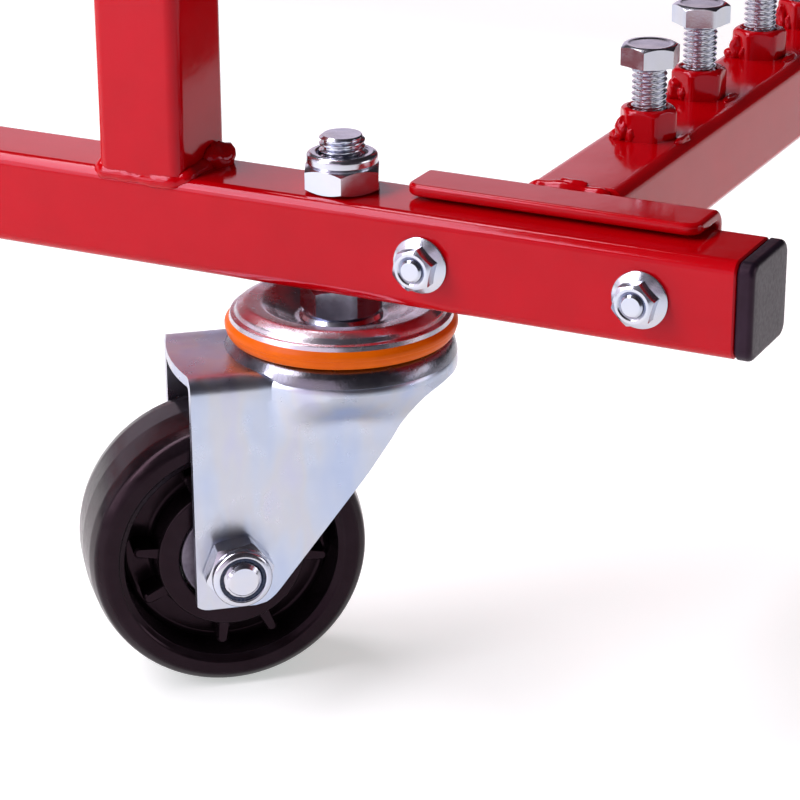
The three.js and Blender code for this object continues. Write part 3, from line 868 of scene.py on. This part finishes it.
def build_frame_fasteners(corner):
    """The two bolts through a bracket and the rail, with their nuts on the rail's outer face."""
    side = 1 if "left" in corner else -1
    under = -(LEG_BACK + 0.3)
    bolt = FRAME_NUT["bolt"]
    for place in ("inner", "outer"):
        nut_node, bolt_node = f"frame_nut_{corner}_{place}", f"frame_bolt_{corner}_{place}"
        outward = turn(-side * QUARTER, "X") @ turn(FRAME_NUT_TURNS[place])
        seat = shift(centre(nut_node).x, side * RAIL_FACE, RAIL_MIDDLE) @ outward
        nut = loft(flange_rings(FRAME_NUT["height"], True), loop=True)
        detail(nut_node, nut, ZINC_BOLT, "frame", "zinc", seat)
        tip = max(abs(end.y) for end in box_mm(bolt_node)) - RAIL_FACE
        shank = loft(rings_of([
            (2.6, under), (bolt, under + 0.1),
            (bolt, tip - 0.55), (bolt - 0.5, tip - 0.05), (bolt - 0.9, tip)], BOLT_SIDES))
        head = moved(loft(flange_rings(FRAME_HEAD_HEIGHT, False)), turn(math.pi, "X"), shift(0, 0, under))
        detail(bolt_node, merged(shank, head), ZINC_BOLT, "frame", "zinc", seat)


def lock_nut_rings(size):
    """A nylon-insert nut from its seat at 0: chamfered hexagon, then the rolled collar over the nylon."""
    collar, bore, lip, hexagon_top, top = (size[key] for key in ("collar", "bore", "lip", "hex", "height"))
    rings = [ring(bore, 0, HEX_SIDES)]
    rings += hexagon_rings(size["flats"], 0, hexagon_top, size["turn"], (0.95, 0.955))
    rolled = filleted([
        (collar - 0.4, hexagon_top, 0), (collar - 0.3, hexagon_top + 0.25, 0.1),
        (collar, hexagon_top + 0.6, 0.3), (collar, top - 0.5, 1.2), (collar - 1.3, top, 0.6),
        (lip, top, 0.5), (lip, top - 1.2, 0)])
    return rings + rings_of(rolled + [(bore, top - 1.2)], HEX_SIDES)


def nylon_ring(size):
    """The nylon insert, which grips the thread inside the collar."""
    inner, outer, top = size["bore"] - 0.35, size["lip"] + 0.1, size["height"] - 0.5
    return turned([
        (inner, top - 1.6), (outer, top - 1.6), (outer, top - 0.1), (outer - 0.2, top),
        (inner + 0.3, top), (inner, top - 0.3)], HEX_SIDES)


# ---------- end caps ----------
def build_end_cap(corner):
    """A plug in the rail's end under a domed square head."""
    node = f"end_cap_{corner}"
    outward = 1 if "front" in corner else -1
    thick, edge = CAP["thick"], CAP["edge"]
    seat, inner_edge, dome_steps = 0.3, 0.5, 5
    plug = TUBE - 2 * TUBE_WALL - 0.8
    rings = [
        square(plug, 1.5, -CAP["plug"]), square(plug, 1.5, seat),
        square(TUBE - 2 * inner_edge, TUBE_CORNER - inner_edge, seat),
        square(TUBE, TUBE_CORNER, seat + inner_edge)]
    for i in range(dome_steps + 1):
        angle = QUARTER * i / dome_steps
        inset = edge * (1 - math.cos(angle))
        height = seat + thick - edge + edge * math.sin(angle)
        rings.append(square(TUBE - 2 * inset, TUBE_CORNER - inset * 0.6, height))
    rings.append(square(TUBE - 8, TUBE_CORNER - 1.5, seat + thick + 0.06))
    place = shift(outward * RAIL_END, centre(node).y, RAIL_MIDDLE) @ turn(outward * QUARTER, "Y")
    detail(node, loft(rings), CAP_BLACK, "frame", "cap_plastic", place)


# ---------- caster ----------
def caster_place(corner):
    """The caster's own frame: swivel axis Z with the rail's underside at 0, trailing towards +X."""
    swivel, roll = JOINTS[f"swivel_{corner}"], JOINTS[f"roll_{corner}"]
    across = Vector(roll["axis"])
    trail = across.cross(Z)
    heading = math.atan2(trail.y, trail.x)
    spot = Vector(swivel["pos_m"]) / MM
    return shift(*spot) @ turn(heading)


def race_dish():
    """The pressed cap over the swivel balls: flat about the hexagon, up to a crest, rolled down outside."""
    profile = filleted([
        (6.0, -9.3, 0), (12.2, -9.3, 2.5), (17.5, -7.2, 5), (21.0, -5.2, 3), (25.2, -4.9, 2.4),
        (27.6, -6.2, 1.2), (28.2, -7.4, 0.5), (29.3, -7.7, 0.4), (29.7, -9.2, 0)])
    under = [(28.6, -9.6), (26.0, -8.6), (21.0, -7.6), (12.5, -11.2), (6.0, -11.2)]
    return turned(profile + under, 128)


def stem_collar():
    """The hexagon that the rail stands on, with its small forged foot."""
    rings = rings_of(STEM_FOOT, HEX_SIDES)
    return loft(rings + hexagon_rings(STEM["flats"], -7.9, -0.02, STEM["turn"], (0.98, 0.97)))


def build_lock_nut(node, size, body, place):
    """A nylon-insert nut: the steel nut stands in for the CAD node, the insert is its own piece."""
    detail(node, loft(lock_nut_rings(size), loop=True), ZINC_BOLT, body, "zinc", place)
    piece(node + "_nylon", nylon_ring(size), NYLON, body, place=place)


def build_stem(corner, place):
    """The upper race, the hexagon and the threaded stud, riveted together, and the nut above the rail."""
    node = f"caster_stem_{corner}"
    piece(node + "_race", race_dish(), ZINC_RACE, "frame", node, "zinc", place, smooth=40)
    piece(node + "_hexagon", stem_collar(), ZINC_BOLT, "frame", slot="zinc", place=place, smooth=30)
    thread_from = TUBE + 6
    stud = merged(
        loft(rings_of(KING_PIN_END + [(5.2, thread_from)], BOLT_SIDES)),
        loft(thread_rings(M12, thread_from, STEM["top"], chamfer=(0.0, 0.9))))
    leaning = shift(*STEM_LEAN) @ place
    piece(node + "_stud", stud, ZINC_BOLT, "frame", slot="zinc", place=leaning, smooth=34)
    build_lock_nut(f"stem_nut_{corner}", STEM_NUT, "frame", leaning @ shift(0, 0, TUBE + 0.15))


def build_seal(corner, place):
    """A ring with a fine step round its side: a bulged band above, a slightly smaller one below."""
    inner, outer, top, bottom = SEAL["inner"], SEAL["outer"], SEAL["top"], SEAL["bottom"]
    profile = filleted([
        (inner, bottom, 0.3), (outer - 1.3, bottom, 0.9), (outer - 0.35, bottom + 1.5, 1.6),
        (outer - 0.25, bottom + 2.5, 0.1), (outer, bottom + 2.7, 0.2), (outer, top - 1.3, 1.2),
        (outer - 1.3, top, 0.5), (inner, top, 0.3)], closed=True)
    detail(f"caster_seal_{corner}", turned(profile, 128), SEAL_ORANGE, "frame", "seal", place, smooth=60)


LEG_EDGE = [                      # lower edge of the fork: along the trail, height
    (-31.5, -22.4), (-23.5, -22.5), (-19.2, -23.6), (-16.9, -24.8), (-15.1, -26.6), (-13.4, -29.2),
    (-11.6, -32.4), (-8.6, -37.6), (-2.2, -46.8), (22.0, -77.4), (23.4, -79.0), (25.4, -80.6), (28.5, -81.3)]
LEG_TOE = 4.4                     # radius of the leg's lower rear corner


def leg_bottom(x):
    """Height of the fork's lower edge, this far along its trail."""
    toe_start = FORK["tail"] + 1.4 - LEG_TOE
    if x > toe_start:
        off = min(1.0, (x - toe_start) / LEG_TOE)
        return FORK["bottom"] + LEG_TOE * (1 - math.sqrt(1 - off * off))
    for (x0, z0), (x1, z1) in zip(LEG_EDGE, LEG_EDGE[1:]):
        if x <= x1:
            return z0 + (z1 - z0) * (x - x0) / (x1 - x0)
    return FORK["bottom"]


def fork_columns():
    """Plan points of the fork's rim from one leg's tail, along it and round the head to the front."""
    tail, half, head = FORK["tail"], FORK["half"], FORK["head"]
    near_tail = [tail - back for back in (0, 0.4, 1.0, 2, 3.2, 5)]
    plan = [(x, half) for x in near_tail + [36, 33, 30, 28.5, 27, 25.8, 24.6]]
    meet = math.asin(half / head)
    count = 34
    for i in range(count + 1):
        angle = meet + (math.pi - meet) * i / count
        plan.append((head * math.cos(angle), head * math.sin(angle)))
    return plan


def flare(z):
    """Share of the head's overhang left at a height: all at the bend, then drawn in to the leg."""
    return eased(z, -35.0, -19.5)


def dimple(x, z):
    """Depth of the shallow pressed dip below the bend."""
    middle_x, middle_z, width, height, depth = 4.0, -30.5, 5.5, 2.6, 1.0
    return depth * math.exp(-((x - middle_x) / width) ** 2 - ((z - middle_z) / height) ** 2)


def fork_skin():
    """The fork's outer skin as one sheet: rows across it, each from one leg's lower edge over the top to the
    other's. They are worked out from the tail on and laid from the head back, so that faces look outward."""
    bend_steps, drop_steps, across_steps = 8, 22, 12
    tail_bulge, bulge_reach = 2.0, 6.0
    meet_x = math.sqrt(FORK["head"] ** 2 - FORK["half"] ** 2)
    blend_reach = 3.5                  # the straight bend swings round into the head's over this length
    rows = []
    for x, y in fork_columns():
        round_share = min(1.0, max(0.0, (meet_x + blend_reach - x) / blend_reach))
        out = Vector((0, 1)).lerp(Vector((x, y)).normalized(), round_share).normalized()
        radius = FORK["bend"]
        column = []
        for k in range(bend_steps + 1):
            angle = QUARTER * k / bend_steps
            back = radius * (1 - math.sin(angle))
            column.append((x - out.x * back, y - out.y * back, FORK["top"] - radius * (1 - math.cos(angle))))
        start = FORK["top"] - radius
        low = min(leg_bottom(x), start - 1.2)
        for k in range(1, drop_steps + 1):
            z = start + (low - start) * k / drop_steps
            overhang = max(0.0, y - FORK["half"]) * flare(z)
            reach = min(y, FORK["half"]) + overhang - (dimple(x, z) if overhang > 0 else 0)
            column.append((x, max(0.0, reach), z))
        top_x, top_y, top_z = column[0]
        bulge = tail_bulge * max(0.0, 1 - (FORK["tail"] - x) / bulge_reach) ** 2
        row = column[::-1]
        for k in range(1, across_steps):
            share = 1 - 2 * k / across_steps
            row.append((top_x + bulge * (1 - share * share), top_y * share, top_z))
        row += [(px, -py, pz) for px, py, pz in column]
        rows.append(row)
    return loft(rows[::-1], closed=False, caps=False)


def build_fork(corner, place):
    """The pressed fork, and the raised race it carries."""
    node, body = f"caster_fork_{corner}", f"fork_{corner}"
    sheet_piece(node + "_pressing", fork_skin(), FORK["thick"], 0.35, ZINC_FORK, body, node, place)
    # The race shoulder wears the zinc painted dark grey, as painted shade under the seal.
    piece(node + "_race", race_shoulder(), ZINC_GRAINY_PAINTED_SHADE, body, slot="zinc", place=place, smooth=50)


RACE_BY_PLATE = [
    (23.5, -16.0), (24.0, RACE_TOP), (28.2, RACE_TOP), (28.7, -14.2), (29.8, -15.5), (31.0, -16.85)]
RACE_BY_HEAD = [
    (23.5, -16.0), (24.0, RACE_TOP), (27.4, RACE_TOP), (28.9, -14.7), (30.1, -16.4), (30.66, -18.8)]
RACE_INSIDE = [(29.4, -19.0), (26.0, -18.0), (23.5, -18.0)]


def race_shoulder():
    """The raised rim under the seal: a cone on the plate behind and on the head's bend in front."""
    def blend(plate, head):
        """From one number over the plate to another round the head."""
        def at(angle):
            off_tail = math.degrees(abs((angle + math.pi) % (2 * math.pi) - math.pi))
            return plate + (head - plate) * eased(off_tail, 36, 48)
        return at

    rings = [
        ring(blend(plate_radius, head_radius), blend(plate_height, head_height), 128)
        for (plate_radius, plate_height), (head_radius, head_height) in zip(RACE_BY_PLATE, RACE_BY_HEAD)]
    return loft(rings + rings_of(RACE_INSIDE, 128), loop=True)


def axle_place(place):
    """The axle's frame: Z along the axle, towards its nut."""
    return place @ shift(TRAIL, 0, -AXLE_DROP) @ turn(-QUARTER, "X")


def build_axle(corner, place):
    """The axle bolt through both legs, its head on one and its lock nut on the other."""
    body, node = f"fork_{corner}", f"axle_bolt_{corner}"
    axle = axle_place(place)
    half, height, shank = FORK["half"], AXLE["head"], AXLE["shank"]
    head = rings_of([(7.3, 0), (7.3, 0.3)], HEX_SIDES)
    head += hexagon_rings(AXLE["flats"], 0.3, height, 0.3, (0.0, 0.94))
    head += rings_of([(6.2, height), (5.8, height - 0.2)], HEX_SIDES)
    bolt = merged(
        moved(loft(head), turn(math.pi, "X"), shift(0, 0, -half - 0.1)),
        loft(rings_of([(4.6, -half - 0.4), (shank, -half + 0.2), (shank, 24), (4.5, 24.2)], BOLT_SIDES)),
        loft(thread_rings(M10, AXLE["thread_from"], AXLE["tip"], chamfer=(0.0, 1.25))))
    detail(node, bolt, ZINC_BOLT, body, "zinc", axle, smooth=34)
    build_lock_nut(f"axle_nut_{corner}", AXLE_NUT, body, axle @ shift(0, 0, half + 0.1))


def wheel_shell():
    """The moulding without its ribs: half a profile from hub to tread, mirrored and turned about the axle."""
    radius, half, hub, rim, web = WHEEL["radius"], WHEEL["half"], WHEEL["hub"], WHEEL["rim"], WHEEL["web"]
    side = filleted([
        (WHEEL["hub_inner"], 0, 0), (WHEEL["hub_inner"], hub, 0.5), (WHEEL["hub_outer"], hub, 0.7),
        (WHEEL["hub_outer"] + 0.7, web, 1.4), (rim - 1.1, web, 1.4), (rim, half - 1.2, 0.6),
        (rim + 1.4, half - 0.5, 0.8), (rim + 1.9, half, 0.8), (radius - 3.6, half, 2.2),
        (radius - 1.2, half - 2.2, 3.0), (radius - 0.35, half - 6.5, 8), (radius, 0.35, 0), (radius, 0, 0)])
    other = [(r, -y) for r, y in reversed(side[1:-1])]
    return turned(side + other, 144)


def wheel_ribs():
    """Short upright ribs in pairs about four centre lines, on both faces of the web."""
    ribs = []
    inner, tip, half = WHEEL["hub_outer"] - 1.5, RIB["tip"], RIB["width"] / 2
    rounding = half * 0.98
    outline = filleted(
        [(inner, half, 0), (tip, half, rounding), (tip, -half, rounding), (inner, -half, 0)], closed=True)
    for quarter in range(4):
        for way in (-1, 1):
            angle = RIB["first"] + quarter * QUARTER + way * RIB["pair"]
            for face in (0, math.pi):
                rib = slab(outline, WHEEL["web"] - 1, RIB["top"], 0.5)
                ribs.append(moved(rib, turn(angle), turn(face, "X")))
    return ribs


def bush_shell():
    """The hub's steel bush, a sleeve through it standing proud at both ends."""
    radius, half, sleeve, sleeve_half = BUSH["radius"], BUSH["half"], BUSH["sleeve"], BUSH["sleeve_half"]
    bore = BUSH["bore"]
    upper = [(bore, sleeve_half, 0.4), (sleeve, sleeve_half, 0.4), (sleeve, half, 0.6), (radius, half, 0.7)]
    lower = [(r, -height, rounding) for r, height, rounding in reversed(upper)]
    return turned(filleted([(bore, 0, 0)] + upper + [(radius, 0, 0)] + lower, closed=True), 72)


def build_wheel(corner, place):
    """The moulded wheel with its ribs, and the bush in its hub."""
    body = f"wheel_{corner}"
    axle = axle_place(place)
    ribs = merged(*wheel_ribs())
    piece(body + "_moulding", wheel_shell(), WHEEL_BLACK, body, body, "wheel_plastic", axle, smooth=40)
    piece(body + "_ribs", ribs, WHEEL_BLACK, body, slot="wheel_plastic", place=axle, smooth=40)
    detail(f"wheel_bush_{corner}", bush_shell(), BUSH_GREY, body, "bush_steel", axle, smooth=40)


def build_caster(corner):
    place = caster_place(corner)
    build_stem(corner, place)
    build_seal(corner, place)
    build_fork(corner, place)
    build_axle(corner, place)
    build_wheel(corner, place)


# ---------- stage: floor, lights, camera ----------
FLOOR_GLOW = 0.48                  # light given off by the floor of the light box
FLOOR_REACH = 12.0                 # metres to each side


def build_floor():
    s = Shader("pale_floor", IOR=1.3, Roughness=0.9, Base_Color=(0.80, 0.81, 0.81, 1),
               Emission_Color=(0.96, 1.0, 0.98, 1), Emission_Strength=FLOOR_GLOW)
    reach = FLOOR_REACH / MM
    corners = [Vector((x * reach, y * reach, 0)) for x, y in ((-1, -1), (1, -1), (1, 1), (-1, 1))]
    meshed("floor", (corners, [(0, 1, 2, 3)]), s.material)


def area_light(name, spot, target, along, size, power, colour=(1.0, 0.96, 1.0)):
    """A rectangular soft box that faces target, its second size lying along a direction."""
    light = bpy.data.lights.new(name, "AREA")
    light.shape = "RECTANGLE"
    light.size, light.size_y = size
    light.energy = power
    light.color = colour
    away = (Vector(spot) - Vector(target)).normalized()
    length = Vector(along) - away * away.dot(Vector(along))
    length.normalize()
    axes = Matrix((length.cross(away), length, away)).transposed()
    linked(name, light).matrix_world = Matrix.Translation(spot) @ axes.to_4x4()


BACKDROP_TOP = 0.40                # sine of the pale backdrop's upper edge above the horizon
BACKDROP_EDGE = (-0.931, -0.365)   # level normal of the backdrop's right-hand limit
BACKDROP_TILT = 0.6                # how fast that limit moves right, below 0.3 up
BACKDROP_LIGHT = 0.90
ROOM_LOW, ROOM_HIGH = 0.25, 0.08   # the room's own light at the horizon and near the ceiling
ROOM_RIGHT = 0.12                  # share of it that is left on the right
ROOM_DARKEST = 0.03


def build_world():
    """A dim studio, darker behind than in front, with a low, pale backdrop behind and to the left."""
    world = bpy.data.worlds.new("studio")
    bpy.context.scene.world = world
    world.use_nodes = True
    tree = world.node_tree
    background = tree.nodes["Background"]
    split = tree.nodes.new("ShaderNodeSeparateXYZ")
    tree.links.new(tree.nodes.new("ShaderNodeTexCoord").outputs["Generated"], split.inputs["Vector"])

    def maths(operation, first, second):
        node = tree.nodes.new("ShaderNodeMath")
        node.operation = operation
        feed(tree, first, node.inputs[0])
        feed(tree, second, node.inputs[1])
        return node.outputs["Value"]

    def fade(value, start, end, low, high):
        """From low to high as a value goes from start to end."""
        node = tree.nodes.new("ShaderNodeMapRange")
        node.interpolation_type = "SMOOTHSTEP"
        for socket, number in zip(list(node.inputs)[1:5], (start, end, low, high)):
            socket.default_value = number
        tree.links.new(value, node.inputs["Value"])
        return node.outputs["Result"]

    x, y, up = (split.outputs[axis] for axis in "XYZ")
    left = maths("ADD", maths("MULTIPLY", x, BACKDROP_EDGE[0]), maths("MULTIPLY", y, BACKDROP_EDGE[1]))
    tilted = maths("ADD", left, maths("MULTIPLY", maths("SUBTRACT", 0.3, up), BACKDROP_TILT))
    below_top = fade(up, BACKDROP_TOP - 0.05, BACKDROP_TOP, 1, 0)
    backdrop = maths("MULTIPLY", fade(tilted, -0.04, 0.04, 0, 1), below_top)
    in_front = maths("MULTIPLY", fade(y, -0.2, 0.4, 1, 0), fade(x, -0.2, 0.4, 1, ROOM_RIGHT))
    walls = maths("MULTIPLY", fade(up, 0.0, 0.9, ROOM_LOW, ROOM_HIGH), in_front)
    room = maths("ADD", ROOM_DARKEST, walls)
    light = maths("ADD", room, maths("MULTIPLY", backdrop, BACKDROP_LIGHT))
    tree.links.new(light, background.inputs["Strength"])
    background.inputs["Color"].default_value = (1.0, 0.86, 1.0, 1)


def build_lights():
    """A long strip overhead, a small key at the left front and a fill on the right."""
    build_world()
    target = (0.33, -0.33, 0.1)
    area_light("overhead_strip", (-0.46, -0.67, 1.36), target, (0, 0.965, 0.262), (0.5, 2.25), 32)
    area_light("left_key", (-0.40, -1.15, 0.50), target, (0, 0, 1), (0.6, 0.6), 3.5)
    area_light("right_fill", (2.5, 0.4, 0.65), target, (0, 0, 1), (1.2, 0.8), 8)


CAMERA_FROM_CORNER = Vector((214.3, -607.7, 246.1))      # from the right rail's lower front corner
CAMERA_YAW, CAMERA_PITCH, CAMERA_ROLL = (math.radians(a) for a in (26.584, 21.755, -0.300))
CAMERA_LENS = 127.5                                      # for a frame 36 mm wide


def build_camera():
    data = bpy.data.cameras.new("camera")
    data.sensor_width = 36
    data.lens = CAMERA_LENS
    data.clip_start, data.clip_end = 0.01, 50
    camera = linked("camera", data)
    corner = Vector((RAIL_END, -RAIL_FACE, RAIL_BOTTOM))
    aim = turn(CAMERA_YAW) @ turn(QUARTER - CAMERA_PITCH, "X") @ turn(CAMERA_ROLL)
    camera.matrix_world = shift(*((corner + CAMERA_FROM_CORNER) * MM)) @ aim
    bpy.context.scene.camera = camera


build_camera()
build_floor()
build_lights()
build_side_frame(-1)
build_side_frame(1)
build_cross_member("front")
build_cross_member("rear")
build_parked_bolts()
for corner_name in CORNERS:
    build_end_cap(corner_name)
    build_frame_fasteners(corner_name)
    build_caster(corner_name)

bpy.context.scene.view_settings.view_transform = "Standard"
bpy.context.scene.view_settings.look = "None"
